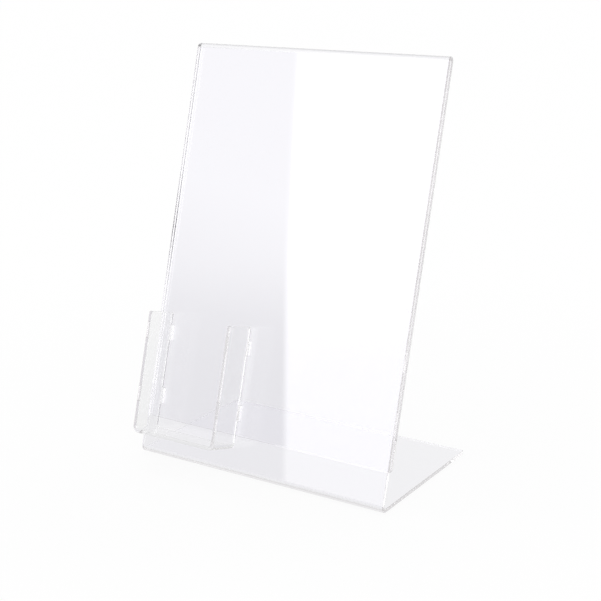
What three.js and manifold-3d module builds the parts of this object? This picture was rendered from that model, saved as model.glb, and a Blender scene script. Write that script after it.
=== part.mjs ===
// Slanted sign holder of clear acrylic, cut and heat-bent from two strips of sheet: a base that folds up
// into a leaning face with a flap behind it for the sign, and a small tray on the front of the face.
// Millimetres. X runs across, -Y is the front, +Z is up, and the holder stands on Z = 0.

import * as THREE from 'three';
import * as BufferGeometryUtils from 'three/addons/utils/BufferGeometryUtils.js';
import Module from 'manifold-3d';

// The sheet. Lengths up the face run along its slope, from its foot: the line where the front of the
// face would meet the table if the bend were sharp.
const SHEET_WIDTH = 216;
const SHEET_THICKNESS = 3;
const FACE_LENGTH = 322;
const FACE_LEAN = THREE.MathUtils.degToRad(16.5);
const BASE_DEPTH = 129;
const BEND_INSIDE_RADIUS = 2;
const SIGN_GAP = 1;
const FLAP_END = 30;
const CORNER_RADIUS = 2;

// The tray, in the face's own directions: across, up the slope and out of the front
const TRAY_THICKNESS = 3;
const TRAY_INSIDE_WIDTH = 70;
const TRAY_HEIGHT = 93;
const TRAY_DEPTH = 27;
const TRAY_BEND_INSIDE_RADIUS = 2;
const TRAY_INSET = 10;
const TRAY_FOOT = 20;
const TRAY_CORNER_RADIUS = 1.5;

// The tabs on the rear edges of the tray's walls, bonded into slots in the face
const TAB_LENGTH = 12;
const TAB_TOP_INSET = 10;
const TAB_PITCH = 49.5;
const TAB_CORNER_RADIUS = 0.5;
const BOND_GAP = 0.3;

// The small chamfer along the polished edges
const EDGE_EASE = 0.3;

// How finely the arcs are faceted, and how far a cutting shape runs past what it cuts
const BEND_STEPS = 24;
const CORNER_STEPS = 6;
const CUT_MARGIN = 1;

const QUARTER_TURN = Math.PI / 2;
const ACROSS = new THREE.Vector3(1, 0, 0);
const BACK = new THREE.Vector3(0, 1, 0);
const FRONT = new THREE.Vector3(0, -1, 0);
const UP = new THREE.Vector3(0, 0, 1);

const wasm = await Module();
wasm.setup();

// A closed geometry as a solid that can be cut
function solid(geometry) {
  const bare = geometry.clone();
  bare.deleteAttribute('normal');
  bare.deleteAttribute('uv');
  const merged = BufferGeometryUtils.mergeVertices(bare);
  return new wasm.Manifold(new wasm.Mesh({
    numProp: 3,
    vertProperties: new Float32Array(merged.attributes.position.array),
    triVerts: new Uint32Array(merged.index.array),
  }));
}

function geometryOf(manifold) {
  const mesh = manifold.getMesh();
  const geometry = new THREE.BufferGeometry();
  geometry.setAttribute('position', new THREE.BufferAttribute(new Float32Array(mesh.vertProperties), 3));
  geometry.setIndex(new THREE.BufferAttribute(new Uint32Array(mesh.triVerts), 1));
  geometry.computeVertexNormals();
  return geometry;
}

// Points of an arc about a centre, both ends included
function arc(centre, radius, from, to, steps) {
  return Array.from({ length: steps + 1 }, (_, i) => {
    const angle = from + (to - from) * i / steps;
    return new THREE.Vector2(Math.cos(angle), Math.sin(angle)).multiplyScalar(radius).add(centre);
  });
}

// The end of a strip in its section, from one face of the strip to the other, with both corners eased
function easedEnd(from, to, outwards) {
  const across = new THREE.Vector2().subVectors(to, from).normalize();
  return [
    from.clone().addScaledVector(outwards, -EDGE_EASE),
    from.clone().addScaledVector(across, EDGE_EASE),
    to.clone().addScaledVector(across, -EDGE_EASE),
    to.clone().addScaledVector(outwards, -EDGE_EASE),
  ];
}

// A strip of sheet of the given width, from its section, with its two long edges eased
function strip(section, width) {
  const geometry = new THREE.ExtrudeGeometry(section, {
    depth: width - 2 * EDGE_EASE,
    steps: 1,
    bevelSegments: 1,
    bevelThickness: EDGE_EASE,
    bevelSize: EDGE_EASE,
    bevelOffset: -EDGE_EASE,
  });
  return geometry.translate(0, 0, EDGE_EASE);
}

function prism(outline, length) {
  return new THREE.ExtrudeGeometry(outline, { depth: length, steps: 1, bevelEnabled: false });
}

// Lays a shape drawn on a page so that the page's x and y run in the given directions from a place
function laid(geometry, pageX, pageY, place) {
  const pageNormal = new THREE.Vector3().crossVectors(pageX, pageY);
  const turn = new THREE.Matrix4().makeBasis(pageX, pageY, pageNormal);
  return geometry.applyMatrix4(turn.setPosition(place));
}

// What rounding takes off a plate's corner. On its page the plate's two edges run along x and y from
// the corner, and the plate's thickness is centred on the page.
function cornerWaste(radius, thickness, pageX, pageY, corner) {
  const length = thickness + SIGN_GAP;
  const outline = new THREE.Shape([
    new THREE.Vector2(-CUT_MARGIN, -CUT_MARGIN),
    new THREE.Vector2(radius, -CUT_MARGIN),
    ...arc(new THREE.Vector2(radius, radius), radius, -QUARTER_TURN, -2 * QUARTER_TURN, CORNER_STEPS),
    new THREE.Vector2(-CUT_MARGIN, radius),
  ]);
  return laid(prism(outline, length).translate(0, 0, -length / 2), pageX, pageY, corner);
}

// The sheet's section, on a page whose x runs to the back and whose y runs up from the face's foot
const BEND_OUTSIDE_RADIUS = BEND_INSIDE_RADIUS + SHEET_THICKNESS;
const FOLD_INSIDE_RADIUS = SIGN_GAP / 2;
const FOLD_OUTSIDE_RADIUS = FOLD_INSIDE_RADIUS + SHEET_THICKNESS;
const FOLD_THICKNESS = 2 * FOLD_OUTSIDE_RADIUS;
const upSlope = new THREE.Vector2(Math.sin(FACE_LEAN), Math.cos(FACE_LEAN));
const intoFace = new THREE.Vector2(Math.cos(FACE_LEAN), -Math.sin(FACE_LEAN));

// A point of the section at a distance up the slope and a distance behind the front of the face
function facePoint(up, into) {
  return new THREE.Vector2().addScaledVector(upSlope, up).addScaledVector(intoFace, into);
}

function sheetSection() {
  const baseBack = new THREE.Vector2(1, 0);
  const downSlope = upSlope.clone().negate();
  const bendCentre = new THREE.Vector2(
    BEND_OUTSIDE_RADIUS * (1 + Math.sin(FACE_LEAN)) / Math.cos(FACE_LEAN),
    BEND_OUTSIDE_RADIUS,
  );
  const foldCentre = facePoint(FACE_LENGTH - FOLD_OUTSIDE_RADIUS, FOLD_OUTSIDE_RADIUS);
  const towardsTable = -QUARTER_TURN;
  const towardsFront = -2 * QUARTER_TURN - FACE_LEAN;
  const overTop = towardsFront + 4 * QUARTER_TURN;
  const towardsBack = -FACE_LEAN;
  return new THREE.Shape([
    ...easedEnd(new THREE.Vector2(BASE_DEPTH, 0), new THREE.Vector2(BASE_DEPTH, SHEET_THICKNESS), baseBack),
    ...arc(bendCentre, BEND_INSIDE_RADIUS, towardsTable, towardsFront, BEND_STEPS),
    ...arc(foldCentre, FOLD_INSIDE_RADIUS, overTop, towardsBack, BEND_STEPS),
    ...easedEnd(
      facePoint(FLAP_END, FOLD_THICKNESS - SHEET_THICKNESS),
      facePoint(FLAP_END, FOLD_THICKNESS),
      downSlope,
    ),
    ...arc(foldCentre, FOLD_OUTSIDE_RADIUS, towardsBack, overTop, BEND_STEPS),
    ...arc(bendCentre, BEND_OUTSIDE_RADIUS, towardsFront, towardsTable, BEND_STEPS),
  ]);
}

// The corners of the strip are the base's two at the back and the flap's two at the bottom
function sheetCornerWaste(toObject) {
  const baseMiddle = SHEET_THICKNESS / 2;
  const flapMiddle = FOLD_THICKNESS - SHEET_THICKNESS / 2;
  return [-1, 1].flatMap((side) => {
    const inwards = ACROSS.clone().multiplyScalar(-side);
    const edge = side * SHEET_WIDTH / 2;
    const baseCorner = new THREE.Vector3(edge, BASE_DEPTH, baseMiddle);
    const flapCorner = new THREE.Vector3(edge, flapMiddle, FLAP_END);
    return [
      solid(cornerWaste(CORNER_RADIUS, SHEET_THICKNESS, inwards, FRONT, baseCorner)),
      solid(cornerWaste(CORNER_RADIUS, SHEET_THICKNESS, inwards, UP, flapCorner).applyMatrix4(toObject)),
    ];
  });
}

// The tray's section, on a page whose x runs across and whose y runs up the slope
const TRAY_WIDTH = TRAY_INSIDE_WIDTH + 2 * TRAY_THICKNESS;
const TRAY_LEFT = TRAY_INSET - SHEET_WIDTH / 2;
const TRAY_RIGHT = TRAY_LEFT + TRAY_WIDTH;
const TRAY_TOP = TRAY_FOOT + TRAY_HEIGHT;

function traySection() {
  const outsideRadius = TRAY_BEND_INSIDE_RADIUS + TRAY_THICKNESS;
  const leftCentre = new THREE.Vector2(TRAY_LEFT + outsideRadius, TRAY_FOOT + outsideRadius);
  const rightCentre = new THREE.Vector2(TRAY_RIGHT - outsideRadius, TRAY_FOOT + outsideRadius);
  const wallTop = new THREE.Vector2(0, 1);
  return new THREE.Shape([
    ...arc(leftCentre, outsideRadius, 2 * QUARTER_TURN, 3 * QUARTER_TURN, BEND_STEPS),
    ...arc(rightCentre, outsideRadius, -QUARTER_TURN, 0, BEND_STEPS),
    ...easedEnd(
      new THREE.Vector2(TRAY_RIGHT, TRAY_TOP),
      new THREE.Vector2(TRAY_RIGHT - TRAY_THICKNESS, TRAY_TOP),
      wallTop,
    ),
    ...arc(rightCentre, TRAY_BEND_INSIDE_RADIUS, 0, -QUARTER_TURN, BEND_STEPS),
    ...arc(leftCentre, TRAY_BEND_INSIDE_RADIUS, 3 * QUARTER_TURN, 2 * QUARTER_TURN, BEND_STEPS),
    ...easedEnd(
      new THREE.Vector2(TRAY_LEFT + TRAY_THICKNESS, TRAY_TOP),
      new THREE.Vector2(TRAY_LEFT, TRAY_TOP),
      wallTop,
    ),
  ]);
}

// The tabs reach through the face and end flush with its back, clear of the sign behind it
const TAB_REACH = SHEET_THICKNESS;
const UPPER_TAB_FOOT = TRAY_TOP - TAB_TOP_INSET - TAB_LENGTH;
const TAB_FEET = [UPPER_TAB_FOOT - TAB_PITCH, UPPER_TAB_FOOT];

// A wall of the tray from its side, with its tabs, on a page whose x runs into the face and whose y
// runs up the slope
function trayProfile() {
  const tabs = TAB_FEET.flatMap((foot) => {
    const roundEnd = TAB_REACH - TAB_CORNER_RADIUS;
    const lowCentre = new THREE.Vector2(roundEnd, foot + TAB_CORNER_RADIUS);
    const highCentre = new THREE.Vector2(roundEnd, foot + TAB_LENGTH - TAB_CORNER_RADIUS);
    return [
      new THREE.Vector2(-BOND_GAP, foot),
      ...arc(lowCentre, TAB_CORNER_RADIUS, -QUARTER_TURN, 0, CORNER_STEPS),
      ...arc(highCentre, TAB_CORNER_RADIUS, 0, QUARTER_TURN, CORNER_STEPS),
      new THREE.Vector2(-BOND_GAP, foot + TAB_LENGTH),
    ];
  });
  const roundTop = TRAY_TOP - TRAY_CORNER_RADIUS;
  const rearCentre = new THREE.Vector2(-BOND_GAP - TRAY_CORNER_RADIUS, roundTop);
  const frontCentre = new THREE.Vector2(-TRAY_DEPTH + TRAY_CORNER_RADIUS, roundTop);
  return new THREE.Shape([
    new THREE.Vector2(-TRAY_DEPTH, TRAY_FOOT),
    new THREE.Vector2(-BOND_GAP, TRAY_FOOT),
    ...tabs,
    ...arc(rearCentre, TRAY_CORNER_RADIUS, 0, QUARTER_TURN, CORNER_STEPS),
    ...arc(frontCentre, TRAY_CORNER_RADIUS, QUARTER_TURN, 2 * QUARTER_TURN, CORNER_STEPS),
  ]);
}

function trayGeometry() {
  const frontOfStrip = new THREE.Vector3(0, TAB_REACH, 0);
  const bent = laid(strip(traySection(), TRAY_DEPTH + TAB_REACH), ACROSS, UP, frontOfStrip);
  const leftSide = new THREE.Vector3(TRAY_LEFT, 0, 0);
  const cut = laid(prism(trayProfile(), TRAY_WIDTH), BACK, UP, leftSide);
  return geometryOf(solid(bent).intersect(solid(cut)));
}

// The slots go through the face and stop in the sign's gap, short of the flap
function slotOutline() {
  const width = TRAY_THICKNESS + 2 * BOND_GAP;
  const height = TAB_LENGTH + 2 * BOND_GAP;
  const right = width / 2 - TAB_CORNER_RADIUS;
  const top = height / 2 - TAB_CORNER_RADIUS;
  const corners = [[right, -top], [right, top], [-right, top], [-right, -top]];
  return new THREE.Shape(corners.flatMap(([x, y], i) => {
    const start = (i - 1) * QUARTER_TURN;
    return arc(new THREE.Vector2(x, y), TAB_CORNER_RADIUS, start, start + QUARTER_TURN, CORNER_STEPS);
  }));
}

function slots(toObject) {
  const wallMiddles = [TRAY_LEFT + TRAY_THICKNESS / 2, TRAY_RIGHT - TRAY_THICKNESS / 2];
  const depth = SHEET_THICKNESS + SIGN_GAP;
  return wallMiddles.flatMap((across) => TAB_FEET.map((foot) => {
    const place = new THREE.Vector3(across, SHEET_THICKNESS + SIGN_GAP / 2, foot + TAB_LENGTH / 2);
    return solid(laid(prism(slotOutline(), depth), ACROSS, UP, place).applyMatrix4(toObject));
  }));
}

function sheetGeometry(toObject) {
  const leftSide = new THREE.Vector3(-SHEET_WIDTH / 2, 0, 0);
  const bent = solid(laid(strip(sheetSection(), SHEET_WIDTH), BACK, UP, leftSide));
  const cuts = [...sheetCornerWaste(toObject), ...slots(toObject)];
  return geometryOf(cuts.reduce((sheet, cut) => sheet.subtract(cut), bent));
}

const clearAcrylic = new THREE.MeshStandardMaterial({
  color: 0xe9e8f2,
  roughness: 0.05,
  metalness: 0,
  transparent: true,
  opacity: 0.35,
});

// The face's own frame: X across, Z up its slope, -Y out of its front
const face = new THREE.Group();
face.rotation.x = -FACE_LEAN;
face.updateMatrix();

const tray = new THREE.Mesh(trayGeometry(), clearAcrylic.clone());
tray.name = 'pocket_tray';
face.add(tray);

const sheet = new THREE.Mesh(sheetGeometry(face.matrix), clearAcrylic);
sheet.name = 'sign_sheet';

// The middle of the whole holder, from the tray's front edge to the back of the base, is over the origin
const frontMost = facePoint(TRAY_FOOT + EDGE_EASE, -TRAY_DEPTH).x;
const holder = new THREE.Group();
holder.position.y = -(frontMost + BASE_DEPTH) / 2;
holder.add(sheet, face);

const object = new THREE.Group();
object.add(holder);

export default object;
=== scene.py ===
# %% [markdown]
# # A slanted sign holder of clear acrylic
# The real holder is two strips of clear 3 mm sheet. One strip is warmed along two lines and folded: a
# base, a face that leans back, and a flap that comes down close behind the face, so that a printed sheet
# slips between. The other strip is bent into a small tray with tabs on its back edges, which are bonded
# into slots in the face. Clear plastic has no colour of its own to paint. What shows is the outline of
# its edges, what is seen through it and what its faces reflect, so the lesson spends its care on clean
# bends, eased edges and surroundings.

# %% Load the measured frame
from math import atan2, cos, pi, radians, sin

import bmesh
import bpy
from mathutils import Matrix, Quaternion, Vector


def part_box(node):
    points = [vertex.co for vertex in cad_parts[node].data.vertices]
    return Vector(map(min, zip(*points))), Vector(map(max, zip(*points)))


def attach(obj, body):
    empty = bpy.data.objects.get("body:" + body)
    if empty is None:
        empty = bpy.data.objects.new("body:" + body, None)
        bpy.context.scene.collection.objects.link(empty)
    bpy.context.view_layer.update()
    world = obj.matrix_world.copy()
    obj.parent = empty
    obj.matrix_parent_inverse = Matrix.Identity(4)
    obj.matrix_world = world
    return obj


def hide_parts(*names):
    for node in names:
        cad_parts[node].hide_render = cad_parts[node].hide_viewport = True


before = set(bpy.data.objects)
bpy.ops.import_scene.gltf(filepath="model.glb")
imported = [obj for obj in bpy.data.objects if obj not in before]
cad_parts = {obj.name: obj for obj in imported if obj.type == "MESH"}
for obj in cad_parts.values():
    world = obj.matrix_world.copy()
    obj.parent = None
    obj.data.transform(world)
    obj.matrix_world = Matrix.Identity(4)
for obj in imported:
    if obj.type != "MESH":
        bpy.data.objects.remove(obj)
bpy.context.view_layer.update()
sheet_low, sheet_high = (Vector(corner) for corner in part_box("sign_sheet"))
tray_low, tray_high = (Vector(corner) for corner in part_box("pocket_tray"))
print("the sheet measures", [round(side, 4) for side in sheet_high - sheet_low])

# %% [markdown]
# ## Sizes
# The frame gives the outer box of each strip. What a box cannot tell, such as the thickness, the lean and
# the radius of a bend, is named once, in metres and radians: here if both strips need it, and otherwise
# in the cell that needs it first. Everything up the face is measured along its slope from the foot, the
# line where the front of the face would meet the table if the bend were sharp.

# %% Name the shared sizes
LEAN = radians(16.5)
THICKNESS = 0.003
BEND_INSIDE = 0.002
BASE_DEPTH = 0.129

bend_outside = BEND_INSIDE + THICKNESS
foot_y = sheet_high.y - BASE_DEPTH
up_slope = Vector((0, sin(LEAN), cos(LEAN)))
into_face = Vector((0, cos(LEAN), -sin(LEAN)))


def face_point(x, up, into):
    """A place at a height up the slope and a depth behind the front of the face."""
    return Vector((x, foot_y, 0)) + up_slope * up + into_face * into


print("the foot line is at y =", round(foot_y, 5))

# %% [markdown]
# ## The camera
# The photograph was taken from the holder's front right and a little above, with a fairly long lens. The
# camera comes early, so that each later step can be looked at from the right place.

# %% Place the camera
EYE = Vector((0.52426, -0.78897, 0.4078))
LOOK_AT = Vector((0.01241, -0.00774, 0.13039))
LENS_MM = 79.39
ROLL = radians(-0.727)

camera = bpy.data.objects.new("photo_camera", bpy.data.cameras.new("photo_camera"))
bpy.context.scene.collection.objects.link(camera)
camera.location = EYE
camera.rotation_mode = "QUATERNION"
camera.rotation_quaternion = (LOOK_AT - EYE).to_track_quat("-Z", "Y") @ Quaternion((0, 0, 1), ROLL)
camera.data.lens = LENS_MM
bpy.context.scene.camera = camera
print("the camera is", round((LOOK_AT - EYE).length, 3), "m away")

# %% [markdown]
# ## Helpers for modelling
# Operators act on whatever is selected, and loading the frame leaves its solids selected. The first
# helper leaves object mode with nothing selected. The second picks the points, edges or faces of a piece
# by their place, as a modeller would with a box select, with a hair of play. The third writes a piece's
# place, turn and scale into its mesh, so that its object stays at the origin, and the last starts a piece
# from a flat plane.

# %% Deselect everything
def deselect_all():
    if bpy.context.mode != "OBJECT":
        bpy.ops.object.mode_set(mode="OBJECT")
    bpy.ops.object.select_all(action="DESELECT")


deselect_all()
print("selected now:", len(bpy.context.selected_objects))

# %% Pick by place
HAIR = 0.0001


def pick(piece, kind, wanted):
    """Selects, in edit mode, what has its middle at a place that is wanted."""
    bpy.ops.mesh.select_mode(type=kind)
    mesh = bmesh.from_edit_mesh(piece.data)
    everything = {"VERT": mesh.verts, "EDGE": mesh.edges, "FACE": mesh.faces}[kind]
    bpy.ops.mesh.select_all(action="DESELECT")
    found = 0
    for element in everything:
        corners = [element] if kind == "VERT" else element.verts
        middle = sum((v.co for v in corners), Vector()) / len(corners)
        if wanted(middle):
            element.select_set(True)
            found += 1
    bmesh.update_edit_mesh(piece.data)
    return found


print("a place may be", HAIR, "m off and is still picked")

# %% Settle a piece and start one from a plane
def settle(piece):
    deselect_all()
    piece.select_set(True)
    bpy.context.view_layer.objects.active = piece
    bpy.ops.object.transform_apply(location=True, rotation=True, scale=True)


def add_plane(name, centre, sides):
    deselect_all()
    bpy.ops.mesh.primitive_plane_add(size=1, location=centre)
    plane = bpy.context.object
    plane.name = name
    plane.scale = (*sides, 1)
    settle(plane)
    return plane


print("the next step starts in", bpy.context.mode.lower(), "mode")

# %% [markdown]
# ## Folding the sheet
# A heat-bent sheet is best made the way the shop makes it. A flat plane stands for the middle of the
# sheet's thickness. Its front edge is spun round the bend, pushed up the slope, spun round the tight fold
# at the top and pushed down again behind the face. The centre of the bend is as far from the table as
# from the front of the face, so the outside of the bend runs smoothly into both. Solidify then gives the
# whole strip one even thickness, bends included.

# %% Fold the middle of the sheet
FACE_LENGTH = 0.322
SIGN_GAP = 0.001
FLAP_END = 0.030
BEND_STEPS = 40

width = sheet_high.x - sheet_low.x
bend_centre = Vector((0, foot_y + bend_outside * (1 + sin(LEAN)) / cos(LEAN), bend_outside))
bend_up = (bend_centre - face_point(0, 0, 0)).dot(up_slope)
base_length = sheet_high.y - bend_centre.y
fold_radius = (SIGN_GAP + THICKNESS) / 2
fold_up = FACE_LENGTH - fold_radius - THICKNESS / 2


def spin_edge(angle, centre, axis):
    bpy.ops.mesh.spin(steps=BEND_STEPS, angle=angle, center=centre, axis=axis)


def push_edge(offset):
    bpy.ops.mesh.extrude_region_move(TRANSFORM_OT_translate={"value": offset})


base_centre = (0, bend_centre.y + base_length / 2, THICKNESS / 2)
bent_sheet = add_plane("bent_sheet", base_centre, (width, base_length))
bpy.ops.object.mode_set(mode="EDIT")
pick(bent_sheet, "EDGE", lambda p: p.y < bend_centre.y + HAIR)
spin_edge(pi / 2 + LEAN, bend_centre, (1, 0, 0))
push_edge(up_slope * (fold_up - bend_up))
spin_edge(pi, face_point(0, fold_up, THICKNESS + SIGN_GAP / 2), (1, 0, 0))
push_edge(up_slope * (FLAP_END - fold_up))
print("the folded strip has", len(bmesh.from_edit_mesh(bent_sheet.data).faces), "faces")

# %% [markdown]
# ## Corners and thickness
# The strip had four corners before it was folded: two are now at the back of the base and two at the
# bottom of the flap. Each is rounded by a vertex bevel while the strip is still thin. Solidify marks the
# rim that it adds with the next material number, and that mark later tells the shader which faces were
# cut.

# %% Round the corners of the sheet
SHEET_CORNER = 0.002
CORNER_STEPS = 8


def round_corners(piece, radius, wanted):
    found = pick(piece, "VERT", wanted)
    bpy.ops.mesh.bevel(offset=radius, segments=CORNER_STEPS, affect="VERTICES")
    return found


flap_foot = face_point(0, FLAP_END, THICKNESS + SIGN_GAP + THICKNESS / 2)
rounded = round_corners(
    bent_sheet,
    SHEET_CORNER,
    lambda p: abs(p.x) > width / 2 - HAIR
    and (p.y > sheet_high.y - HAIR or (Vector((0, p.y, p.z)) - flap_foot).length < HAIR),
)
print("rounded", rounded, "corners")

# %% Give the sheet its thickness
RIM = 1


def apply_modifier(piece, kind, **settings):
    modifier = piece.modifiers.new(kind.lower(), kind)
    for name, value in settings.items():
        setattr(modifier, name, value)
    bpy.context.view_layer.objects.active = piece
    bpy.ops.object.modifier_apply(modifier=modifier.name)


def add_empty_materials(piece):
    """Makes room for two material numbers, 0 for the broad faces and RIM for the cut ones."""
    for number in range(RIM + 1):
        piece.data.materials.append(None)


def thicken(piece):
    bpy.ops.object.mode_set(mode="OBJECT")
    add_empty_materials(piece)
    apply_modifier(
        piece, "SOLIDIFY", thickness=THICKNESS, offset=0, use_even_offset=True, material_offset_rim=RIM
    )
    bpy.ops.object.mode_set(mode="EDIT")
    bpy.ops.mesh.select_all(action="SELECT")
    bpy.ops.mesh.normals_make_consistent(inside=False)
    bpy.ops.object.mode_set(mode="OBJECT")


thicken(bent_sheet)
print("the rim has", sum(face.material_index == RIM for face in bent_sheet.data.polygons), "faces")

# %% [markdown]
# ## Bending the tray
# The tray starts as its floor, upright in the face's own directions: across, out of the front and up the
# slope. Both side edges are spun up into walls. Bisect cuts the walls at the height of each tab, and only
# the pieces of back edge between those cuts are pushed through the face. Leaning the finished tray back
# comes last.

# %% Measure the tray
TRAY_FOOT = 0.020
TRAY_HEIGHT = 0.093
TRAY_DEPTH = 0.027
TRAY_CORNER = 0.0015
TAB_LENGTH = 0.012
TAB_TOP_INSET = 0.010
TAB_PITCH = 0.0495
TAB_CORNER = 0.0005
BOND_GAP = 0.0003

tray_top = TRAY_FOOT + TRAY_HEIGHT
bend_height = TRAY_FOOT + bend_outside
floor_left = tray_low.x + bend_outside
floor_right = tray_high.x - bend_outside
floor_depth = TRAY_DEPTH - BOND_GAP
upper_tab_foot = tray_top - TAB_TOP_INSET - TAB_LENGTH
tab_feet = [upper_tab_foot - TAB_PITCH, upper_tab_foot]
print("the tabs start", [round(foot, 4) for foot in tab_feet], "m up the slope")

# %% Bend the tray and push out its tabs
def in_a_tab(height):
    return any(foot - HAIR < height < foot + TAB_LENGTH + HAIR for foot in tab_feet)


floor_centre = ((floor_left + floor_right) / 2, -TRAY_DEPTH + floor_depth / 2, TRAY_FOOT + THICKNESS / 2)
bent_tray = add_plane("bent_tray", floor_centre, (floor_right - floor_left, floor_depth))
bpy.ops.object.mode_set(mode="EDIT")
for side, edge_x in ((-1, floor_left), (1, floor_right)):
    pick(bent_tray, "EDGE", lambda p: side * (p.x - edge_x) > -HAIR)
    spin_edge(pi / 2, (edge_x, 0, bend_height), (0, side, 0))
    push_edge((0, 0, tray_top - bend_height))
for foot in tab_feet:
    for height in (foot, foot + TAB_LENGTH):
        bpy.ops.mesh.select_all(action="SELECT")
        bpy.ops.mesh.bisect(plane_co=(0, 0, height), plane_no=(0, 0, 1))
pick(bent_tray, "EDGE", lambda p: p.y > -BOND_GAP - HAIR and in_a_tab(p.z))
push_edge((0, BOND_GAP + THICKNESS, 0))
tab_corners = round_corners(bent_tray, TAB_CORNER, lambda p: p.y > THICKNESS - HAIR)
top_corners = round_corners(bent_tray, TRAY_CORNER, lambda p: p.z > tray_top - HAIR)
thicken(bent_tray)
bent_tray.location = (0, foot_y, 0)
bent_tray.rotation_euler = (-LEAN, 0, 0)
settle(bent_tray)
print("rounded", tab_corners, "corners of tabs and", top_corners, "of walls")

# %% [markdown]
# ## Cutting the slots
# Each slot is a small milled hole with round corners. One block is shaped and bevelled, copied to the
# four places, and a boolean takes all four out of the face at once. The blocks end in the gap behind the
# face, so the flap keeps its whole surface. Their faces carry the rim's number, because a slot is a cut
# edge as well.

# %% Shape a block and copy it to the four places
wall_middles = [tray_low.x + THICKNESS / 2, tray_high.x - THICKNESS / 2]
slot_depth = THICKNESS + SIGN_GAP


def shape_block():
    deselect_all()
    bpy.ops.mesh.primitive_cube_add(size=1)
    block = bpy.context.object
    block.scale = (THICKNESS + 2 * BOND_GAP, slot_depth, TAB_LENGTH + 2 * BOND_GAP)
    settle(block)
    bpy.ops.object.mode_set(mode="EDIT")
    pick(block, "EDGE", lambda p: abs(p.y) < HAIR)
    bpy.ops.mesh.bevel(offset=TAB_CORNER, segments=CORNER_STEPS, affect="EDGES")
    bpy.ops.object.mode_set(mode="OBJECT")
    return block


def copy_to(block, x, foot):
    copy = block.copy()
    copy.data = block.data.copy()
    bpy.context.scene.collection.objects.link(copy)
    copy.location = face_point(x, foot + TAB_LENGTH / 2, THICKNESS / 2)
    copy.rotation_euler = (-LEAN, 0, 0)
    settle(copy)
    return copy


first_block = shape_block()
blocks = [copy_to(first_block, x, foot) for x in wall_middles for foot in tab_feet]
bpy.data.objects.remove(first_block)
print("placed", len(blocks), "blocks")

# %% Cut the slots through the face
deselect_all()
for block in blocks:
    block.select_set(True)
bpy.context.view_layer.objects.active = blocks[0]
bpy.ops.object.join()
cutter = bpy.context.object
add_empty_materials(cutter)
for face in cutter.data.polygons:
    face.material_index = RIM
apply_modifier(bent_sheet, "BOOLEAN", object=cutter, operation="DIFFERENCE", solver="EXACT")
bpy.data.objects.remove(cutter)
print("the slotted sheet has", len(bent_sheet.data.polygons), "faces")

# %% [markdown]
# ## Easing and shading
# Real cut edges are never razor sharp: after sawing they are scraped and polished. A narrow bevel on
# every sharp edge catches the thin bright and dark lines that draw clear plastic. The broad faces must
# stay optically flat, so the normals are weighted by face area, as far as the modifier allows, and the
# small faces beside them take all of the turn.

# %% Ease the edges and weight the normals
EDGE_EASE = 0.0003
EASE_STEPS = 2
SHARP = radians(50)
SMOOTH_UNDER = radians(30)
FAVOUR_LARGE = 100


def finish_shape(piece):
    apply_modifier(
        piece, "BEVEL", width=EDGE_EASE, segments=EASE_STEPS, limit_method="ANGLE", angle_limit=SHARP
    )
    deselect_all()
    piece.select_set(True)
    bpy.context.view_layer.objects.active = piece
    bpy.ops.object.shade_smooth_by_angle(angle=SMOOTH_UNDER)
    apply_modifier(piece, "WEIGHTED_NORMAL", keep_sharp=True, weight=FAVOUR_LARGE)
    return len(piece.data.polygons)


for piece in (bent_sheet, bent_tray):
    print(piece.name, "has", finish_shape(piece), "faces")

# %% [markdown]
# ## Marks for the shader
# Two things on the plastic are marked on its faces, with a number for each, which the shader reads. The
# first depends on how the plastic was worked and says how rough a face was left: the open cut edges are
# polished, and the edges of the tray that were glued to the face stay as the saw left them. The second is
# for the sheet alone and marks the crest of the tight fold, where painted shade darkens it into a grey
# line. With the marks made, the material numbers of the rim have done their work and are cleared.

# %% Mark how rough the cut edges are
POLISHED = 0.2
SAWN = 1.5
GLUE_REACH = 0.001


def mark_faces(piece, name, amount):
    values = [amount(face) for face in piece.data.polygons]
    mark = piece.data.attributes.new(name, "FLOAT", "FACE")
    mark.data.foreach_set("value", values)
    print(piece.name, name, "on", sum(value > 0 for value in values), "faces")


def glued(face):
    """Whether a face of the tray was glued, because it meets the sheet or reaches into it."""
    return (face.center - face_point(0, 0, -GLUE_REACH)).dot(into_face) > 0


mark_faces(bent_sheet, "cut_edge", lambda face: face.material_index * POLISHED)
mark_faces(bent_tray, "cut_edge", lambda face: face.material_index * (SAWN if glued(face) else POLISHED))

# %% Mark the painted shade of the fold and clear the numbers
SHADE_FULL = 0.0007
SHADE_FADES = 0.0009


def fold_shade_share(face):
    """1 at the crest of the fold, where the painted shade is full, and 0 where it has faded."""
    from_crest = (face_point(0, FACE_LENGTH, 0) - face.center).dot(up_slope)
    return min(1.0, max(0.0, 1.0 - (from_crest - SHADE_FULL) / SHADE_FADES))


mark_faces(bent_sheet, "shaded_fold", fold_shade_share)
for piece in (bent_sheet, bent_tray):
    for face in piece.data.polygons:
        face.material_index = 0
    piece.data.materials.clear()

# %% [markdown]
# ## Helpers for materials
# A material is a tree of nodes with links between them. The first helper feeds a socket with a link or
# with a plain number, and the second adds any node and feeds its sockets by name. The other three add a
# node for one job and give back its result: a step of arithmetic, a value that goes from one level to
# another, and a mix of two tones.

# %% Build materials from nodes
def connect(tree, value, socket):
    if isinstance(value, bpy.types.NodeSocket):
        tree.links.new(value, socket)
    else:
        socket.default_value = value


def add_node(tree, kind, **values):
    node = tree.nodes.new(kind)
    for name, value in values.items():
        socket = name.replace("_", " ")
        if socket in node.inputs:
            connect(tree, value, node.inputs[socket])
        else:
            setattr(node, name, value)
    return node


def calculate(tree, operation, *values):
    step = add_node(tree, "ShaderNodeMath", operation=operation)
    for socket, value in zip(step.inputs, values):
        connect(tree, value, socket)
    return step.outputs[0]


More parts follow.
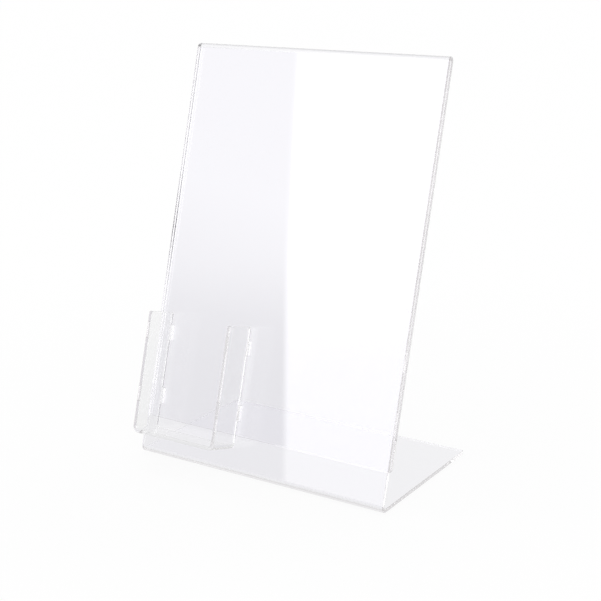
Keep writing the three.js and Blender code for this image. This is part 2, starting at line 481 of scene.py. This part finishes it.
def go_between(tree, value, start, end, low=0.0, high=1.0, curve="LINEAR"):
    """Goes from low to high as the value goes from start to end, and stays level before and after."""
    step = add_node(tree, "ShaderNodeMapRange", interpolation_type=curve)
    for socket, number in zip(step.inputs, (value, start, end, low, high)):
        connect(tree, number, socket)
    return step.outputs["Result"]


def mix_tones(tree, share, first, second, blend="MIX"):
    mix = add_node(tree, "ShaderNodeMixRGB", Fac=share, Color1=first, Color2=second, blend_type=blend)
    return mix.outputs["Color"]


print("the frame brought", len(bpy.data.materials), "materials")

# %% [markdown]
# ## The surface of the plastic
# The polished faces are not perfectly even: a slow wave in the cast sheet bends reflections slightly, and
# handling leaves the faintest smudges. Sawn edges are satin and keep fine lines, which run nearly across
# their thickness, and polishing leaves very little of both. Each of these is a soft noise on the piece's
# own coordinates. Two of them are read as heights, and the smudges as roughness.

# %% Draw the wave, the lines and the smudges
WAVE = {"Scale": 7.0, "Detail": 1.0, "Roughness": 0.3}
WAVE_DEPTH = 0.00008
LINES = {"Scale": 1.0, "Detail": 2.0, "Roughness": 0.6}
LINE_SPREAD = (400, 60, 400)
LINE_DEPTH = 0.0000015
SMUDGES = {"Scale": 28.0, "Detail": 4.0, "Roughness": 0.6}
SMUDGE_PATCHES = (0.52, 0.75)
SMUDGE_ROUGHNESS = 0.03


def noise(tree, place, grain):
    return add_node(tree, "ShaderNodeTexNoise", Vector=place, **grain).outputs["Fac"]


def uneven_normal(tree, place, cut):
    """The slow wave of the sheet, with the lines of the saw on top where it was cut."""
    wave = add_node(tree, "ShaderNodeBump", Distance=WAVE_DEPTH, Height=noise(tree, place, WAVE))
    across = add_node(tree, "ShaderNodeMapping", Vector=place, Rotation=(LEAN, 0, 0), Scale=LINE_SPREAD)
    height = calculate(tree, "MULTIPLY", noise(tree, across.outputs["Vector"], LINES), cut)
    waved = wave.outputs["Normal"]
    lines = add_node(tree, "ShaderNodeBump", Distance=LINE_DEPTH, Height=height, Normal=waved)
    return lines.outputs["Normal"]


def uneven_roughness(tree, place, cut, cut_roughness):
    """Faint smudges everywhere, and a satin finish where the piece was cut."""
    smudges = go_between(tree, noise(tree, place, SMUDGES), *SMUDGE_PATCHES, 0.0, SMUDGE_ROUGHNESS)
    return calculate(tree, "MULTIPLY_ADD", cut, cut_roughness, smudges)


print("a smudge is at most", SMUDGE_ROUGHNESS, "rough")

# %% [markdown]
# ## Clear acrylic
# Cast acrylic bends light a little less than glass. Seen across, 3 mm of it has only a breath of violet,
# but along a cut edge the light has come through many centimetres, and the edge looks grey. Volume
# absorption does just that, since it counts the length of the path. In the photograph the tray looks a
# touch greyer than the sheet, so each strip has tints of its own. Only the sheet has painted shade along
# the crest of its fold, so only its tint is mixed: the tray's is the same all over and is written on the
# shader itself.

# %% Mix the acrylic
ACRYLIC_IOR = 1.49
DENSITY = 1.4
# Painted shade: the grey tint that darkens the crest of the tight fold into a grey line.
FOLD_SHADE_TONE = (0.79, 0.79, 0.80, 1)


def face_mark(tree, name):
    return add_node(tree, "ShaderNodeAttribute", attribute_name=name).outputs["Fac"]


def clear_acrylic(name, tint, depth_tint, cut_roughness):
    material = bpy.data.materials.new(name)
    material.use_nodes = True
    tree = material.node_tree
    surface = tree.nodes["Principled BSDF"].inputs
    surface["Base Color"].default_value = tint
    surface["IOR"].default_value = ACRYLIC_IOR
    surface["Transmission Weight"].default_value = 1
    place = add_node(tree, "ShaderNodeTexCoord").outputs["Object"]
    cut = face_mark(tree, "cut_edge")
    connect(tree, uneven_normal(tree, place, cut), surface["Normal"])
    connect(tree, uneven_roughness(tree, place, cut, cut_roughness), surface["Roughness"])
    depth = add_node(tree, "ShaderNodeVolumeAbsorption", Density=DENSITY, Color=depth_tint)
    connect(tree, depth.outputs["Volume"], tree.nodes["Material Output"].inputs["Volume"])
    print(name, "bends light by", ACRYLIC_IOR)
    return material


# Paints shade into the sheet's tint along the crest of the fold.
def shade_the_fold(material, tint):
    tree = material.node_tree
    colour = mix_tones(tree, face_mark(tree, "shaded_fold"), tint, FOLD_SHADE_TONE)
    connect(tree, colour, tree.nodes["Principled BSDF"].inputs["Base Color"])


# %% Give both pieces their plastic
SHEET_TINT = (0.982, 0.979, 0.996, 1)
SHEET_DEPTH_TINT = (0.64, 0.62, 0.60, 1)
SHEET_CUT_ROUGHNESS = 0.06
TRAY_TINT = (0.966, 0.968, 0.964, 1)
TRAY_DEPTH_TINT = (0.80, 0.81, 0.78, 1)
TRAY_CUT_ROUGHNESS = 0.10

sheet_acrylic = clear_acrylic("clear_sheet_acrylic", SHEET_TINT, SHEET_DEPTH_TINT, SHEET_CUT_ROUGHNESS)
shade_the_fold(sheet_acrylic, SHEET_TINT)
tray_acrylic = clear_acrylic("clear_tray_acrylic", TRAY_TINT, TRAY_DEPTH_TINT, TRAY_CUT_ROUGHNESS)
for piece, acrylic, node, slot in (
    (bent_sheet, sheet_acrylic, "sign_sheet", "clear_sheet"),
    (bent_tray, tray_acrylic, "pocket_tray", "clear_tray"),
):
    piece.data.materials.append(acrylic)
    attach(piece, "root")
    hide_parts(node)
    print(piece.name, "stands for", node)

# %% [markdown]
# ## What a ray may see
# Clear plastic is drawn by what it mirrors, and a real studio is not white all round. The floor and the
# room therefore answer a ray by its history. One that came straight, or only passed through, sees white,
# so nothing dark shows behind the sheet. One that was mirrored once or twice sees the surroundings' own
# tones, which draw the lines along edges and bends. One that was mirrored more often has run along inside
# the sheet. It would pick up one tone here and another there, as grain, so it sees a single pale grey.

# %% Sort the rays by their history
MIRRORED_AFTER = 0.5
DEEP_AFTER = 2.5
DEEP_TONE = (0.88, 0.87, 0.87, 1)
WHITE = (1, 1, 1, 1)


def light_path(tree, fact):
    return add_node(tree, "ShaderNodeLightPath").outputs[fact]


def picture_ray(tree):
    """1 for the rays that carry the picture: straight, mirrored or through clear plastic."""
    seen = calculate(tree, "MAXIMUM", light_path(tree, "Is Camera Ray"), light_path(tree, "Is Glossy Ray"))
    return calculate(tree, "MAXIMUM", seen, light_path(tree, "Is Transmission Ray"))


def mirrored_more_than(tree, times):
    """1 for the rays that were mirrored more than so many times, on a face or inside the plastic."""
    return calculate(tree, "GREATER_THAN", light_path(tree, "Glossy Depth"), times)


def what_rays_see(tree, own_tone):
    """White for straight rays, the given tone for mirrored ones and one pale grey for deep ones."""
    shallow = mix_tones(tree, mirrored_more_than(tree, MIRRORED_AFTER), WHITE, own_tone)
    return mix_tones(tree, mirrored_more_than(tree, DEEP_AFTER), shallow, DEEP_TONE)


print("a ray counts as deep after", int(DEEP_AFTER), "mirrorings")

# %% [markdown]
# ## The mirrored ground
# Rays that were mirrored once or twice see tones painted on the ground well behind the holder, which
# camera rays never see: painted reflections. On the right lies a painted dark strip, which the polished
# left edge shows as its two dark lines. On the left, where the tops of the tray's walls mirror the ground,
# it stays pale and only turns grey further back.

# %% Tone the mirrored ground
# Painted reflection: the greys of the ground that only mirrored rays see, by distance behind the holder.
MIRRORED_DARK_STRIP = ((0.18, 1.0), (0.31, 0.82), (0.43, 0.45), (0.55, 0.12), (0.70, 0.30), (0.90, 0.50))
STRIP_STARTS = (-0.20, -0.10)
PALE_UP_TO = 0.60
GREY_FROM, FAR_GREY = MIRRORED_DARK_STRIP[-1]


def tones_along(tree, value, stops):
    """Blends from tone to tone as the value passes the places of the stops."""
    ramp = add_node(tree, "ShaderNodeValToRGB", Fac=value)
    made = ramp.color_ramp.elements
    for number, (place, tone) in enumerate(stops):
        stop = made[number] if number < len(made) else made.new(place)
        stop.position = place
        stop.color = tone
    return ramp.outputs["Color"]


# Painted reflection: the tone the ground shows to mirrored rays only.
def mirrored_ground_tone(tree, place):
    where = add_node(tree, "ShaderNodeSeparateXYZ", Vector=place).outputs
    left = go_between(tree, where["Y"], PALE_UP_TO, GREY_FROM, 1.0, FAR_GREY)
    right = tones_along(tree, where["Y"], [(back, (grey, grey, grey, 1)) for back, grey in MIRRORED_DARK_STRIP])
    return mix_tones(tree, go_between(tree, where["X"], *STRIP_STARTS), left, right)


print("the dark strip is darkest", min(MIRRORED_DARK_STRIP, key=lambda stop: stop[1])[0], "m behind")

# %% [markdown]
# ## The floor
# The photograph's ground is so white that it has no edge. A plain white floor lit by the same light as
# the holder keeps the soft shadow close by. For the rays that carry the picture, most of its colour is
# pure white all the same, and further out nearly all of it, so that the floor melts into the background.
# Close by, for rays that come through the plastic, it is painted a little grey: a painted shadow that
# camera rays do not see. The light that the floor gives back to the holder stays that of a plain painted
# surface.

# %% Paint the floor
FLOOR_PAINT = (0.95, 0.95, 0.95, 1)
SHADOW_REACH = (0.15, 0.65)
FAR_SHARE = 0.1
SHADOW_SEEN = 0.09
# Painted shadow: the grey by which the floor close by is darkened for rays that come through the plastic.
PAINTED_SHADE_THROUGH = (0.905, 0.905, 0.91, 1)


def show_mix(material, share, first, second):
    """Ends a material with two shaders, mixed by a share, in place of the shader that it came with."""
    tree = material.node_tree
    tree.nodes.remove(tree.nodes["Principled BSDF"])
    mix = add_node(tree, "ShaderNodeMixShader")
    for socket, value in zip(mix.inputs, (share, first.outputs[0], second.outputs[0])):
        connect(tree, value, socket)
    connect(tree, mix.outputs["Shader"], tree.nodes["Material Output"].inputs["Surface"])


def floor_paint():
    material = bpy.data.materials.new("floor_white")
    material.use_nodes = True
    tree = material.node_tree
    place = add_node(tree, "ShaderNodeTexCoord").outputs["Object"]
    reach = add_node(tree, "ShaderNodeVectorMath", operation="LENGTH")
    connect(tree, place, reach.inputs[0])
    near = go_between(tree, reach.outputs["Value"], *SHADOW_REACH, 1.0, FAR_SHARE, "SMOOTHSTEP")

    # Painted shadow: only rays that are not camera rays see the floor darkened close by.
    bent = calculate(tree, "SUBTRACT", 1.0, light_path(tree, "Is Camera Ray"))
    painted_shade_share = calculate(tree, "MULTIPLY", bent, near)
    tone = what_rays_see(tree, mirrored_ground_tone(tree, place))
    seen = mix_tones(tree, painted_shade_share, tone, PAINTED_SHADE_THROUGH, "MULTIPLY")
    white = add_node(tree, "ShaderNodeEmission", Color=seen)

    paint = add_node(tree, "ShaderNodeBsdfDiffuse", Color=FLOOR_PAINT)
    unshaded = calculate(tree, "MULTIPLY_ADD", near, -SHADOW_SEEN, 1.0)
    show_mix(material, calculate(tree, "MULTIPLY", picture_ray(tree), unshaded), paint, white)
    return material


white_floor = floor_paint()
print("the floor's", white_floor.name, "has", len(white_floor.node_tree.nodes), "nodes")

# %% Lay the floor
FLOOR_SIZE = 30.0
FLOOR_DROP = 0.0003

deselect_all()
bpy.ops.mesh.primitive_plane_add(size=FLOOR_SIZE, location=(0, 0, -FLOOR_DROP))
studio_floor = bpy.context.object
studio_floor.name = "studio_floor"
studio_floor.data.materials.append(white_floor)
print("the floor is", FLOOR_SIZE, "m wide")

# %% [markdown]
# ## The room
# Behind the holder the room is white, in front it is dim near the ground and nearly white higher up, and
# overhead it is dim again. Only mirrored rays see those dim parts, which draw the fine dark lines along
# bends and the crest. What is seen straight through the sheet stays white from every side.

# %% Surround the holder with the room
TENT_LIGHT = 0.8
DIM_FRONT = (0.41, 0.40, 0.43, 1)
DIM_UP_TO = 0.17
HIGH_FRONT = (0.98, 0.96, 1.00, 1)
HIGH_FROM = 0.26
FRONT_STARTS = (0.10, -0.35)
OVERHEAD = (0.40, 0.40, 0.42, 1)
OVERHEAD_STARTS = (0.55, 0.75)


def room():
    world = bpy.data.worlds.new("white_room")
    world.use_nodes = True
    tree = world.node_tree
    background = tree.nodes["Background"].inputs
    connect(tree, go_between(tree, picture_ray(tree), 0.0, 1.0, TENT_LIGHT, 1.0), background["Strength"])

    generated = add_node(tree, "ShaderNodeTexCoord").outputs["Generated"]
    way = add_node(tree, "ShaderNodeSeparateXYZ", Vector=generated).outputs
    front = tones_along(tree, way["Z"], ((DIM_UP_TO, DIM_FRONT), (HIGH_FROM, HIGH_FRONT)))
    walls = mix_tones(tree, go_between(tree, way["Y"], *FRONT_STARTS), WHITE, front)
    whole = mix_tones(tree, go_between(tree, way["Z"], *OVERHEAD_STARTS), walls, OVERHEAD)
    connect(tree, what_rays_see(tree, whole), background["Color"])
    return world


bpy.context.scene.world = room()
print("the room lights the holder at", TENT_LIGHT)

# %% [markdown]
# ## The white board
# A tall white board stands in front on the left. The right part of the face mirrors the board, and the
# left part mirrors the dim room past the board's border: that makes the soft upright boundary in the
# face. The board shows only to rays that were mirrored once or twice. Its border leans and bows a little,
# because the face itself leans back, and it is worked out in the material, which is clear past it.

# %% Paint the board up to its border
BOARD_LIGHT = 1.8
BORDER_AT_FLOOR = -0.1399
BORDER_LEAN = 0.3312
BORDER_BOW = -0.0606
BORDER_SOFT = 0.006


def board_paper():
    material = bpy.data.materials.new("board_white")
    material.use_nodes = True
    tree = material.node_tree
    place = add_node(tree, "ShaderNodeTexCoord").outputs["Object"]
    where = add_node(tree, "ShaderNodeSeparateXYZ", Vector=place).outputs
    slope = calculate(tree, "MULTIPLY_ADD", where["Y"], BORDER_BOW, BORDER_LEAN)
    border = calculate(tree, "MULTIPLY_ADD", slope, where["Y"], BORDER_AT_FLOOR)
    past = calculate(tree, "SUBTRACT", where["X"], border)
    paper = go_between(tree, past, BORDER_SOFT, -BORDER_SOFT)

    shallow = calculate(tree, "SUBTRACT", 1.0, mirrored_more_than(tree, DEEP_AFTER))
    mirrored = calculate(tree, "MULTIPLY", shallow, mirrored_more_than(tree, MIRRORED_AFTER))
    clear = add_node(tree, "ShaderNodeBsdfTransparent")
    white = add_node(tree, "ShaderNodeEmission", Color=WHITE, Strength=BOARD_LIGHT)
    show_mix(material, calculate(tree, "MULTIPLY", paper, mirrored), clear, white)
    return material


white_paper = board_paper()
print("the board's", white_paper.name, "has", len(white_paper.node_tree.nodes), "nodes")

# %% Stand the board where the face mirrors it
BOARD_WAY = Vector((-0.5452, -0.8383, 0))
BOARD_FAR = 1.48
BOARD_LEFT = 0.40
BOARD_RIGHT = 2.60
BOARD_TOP = 1.60

board_centre = ((BOARD_LEFT - BOARD_RIGHT) / 2, BOARD_TOP / 2, 0)
board = add_plane("white_board", board_centre, (BOARD_LEFT + BOARD_RIGHT, BOARD_TOP))
board.location = BOARD_WAY * BOARD_FAR
board.rotation_euler = (pi / 2, 0, atan2(-BOARD_WAY.x, BOARD_WAY.y))
board.data.materials.append(white_paper)
board.visible_camera = False
board.visible_diffuse = False
board.visible_shadow = False
print("the board is", BOARD_FAR, "m from the holder")

# %% [markdown]
# ## Two soft lamps
# The white room lights the holder evenly. A wide soft lamp overhead, a little to the left and behind, and
# a large soft box at the front right add to that light, so that the shadow has a direction. The plastic
# does not mirror the lamps: found by chance at the end of long paths inside the sheet, they would leave
# bright grain.

# %% Hang the lamps
LAMPS = {
    "overhead_lamp": (Vector((-0.55, 0.35, 1.5)), (0.8, 0.8), 3.0),
    "front_soft_box": (Vector((1.00, -1.28, 0.60)), (1.3, 1.2), 9.0),
}


def hang_lamp(name, place, sides, watts):
    deselect_all()
    bpy.ops.object.light_add(type="AREA", location=place)
    lamp = bpy.context.object
    lamp.name = name
    lamp.rotation_euler = (-place).to_track_quat("-Z", "Y").to_euler()
    lamp.data.shape = "RECTANGLE"
    lamp.data.size, lamp.data.size_y = sides
    lamp.data.energy = watts
    lamp.visible_camera = False
    lamp.visible_glossy = False
    return lamp


for name, (place, sides, watts) in LAMPS.items():
    print(hang_lamp(name, place, sides, watts).name, "hangs", round(place.z, 2), "m up")

# %% [markdown]
# ## Enough bounces for the cut edges
# Looking into a cut edge, the eye follows light that zigzags through the whole width of the sheet,
# between its polished faces: about fifty mirrorings over 216 mm. If the paths were cut off after the
# usual twelve, the edges would turn black, so the limits are raised until light comes through. The
# renderer also likes to give up a faint path early, by chance, and to count the others as brighter. Over
# so many mirrorings that chance shows as dots along the edges, so the shortest allowed path is raised as
# well.

# %% Let the light run along the sheet
LONGEST_PATH = 200

cycles = bpy.context.scene.cycles
cycles.max_bounces = LONGEST_PATH
cycles.min_light_bounces = LONGEST_PATH
cycles.transmission_bounces = LONGEST_PATH
cycles.glossy_bounces = LONGEST_PATH
print("a path may turn", LONGEST_PATH, "times")

# %% [markdown]
# ## Finish
# The picture is shown with the standard view transform. The visual model has to stay inside the box
# of the measured frame.

bpy.context.scene.view_settings.view_transform = "Standard"
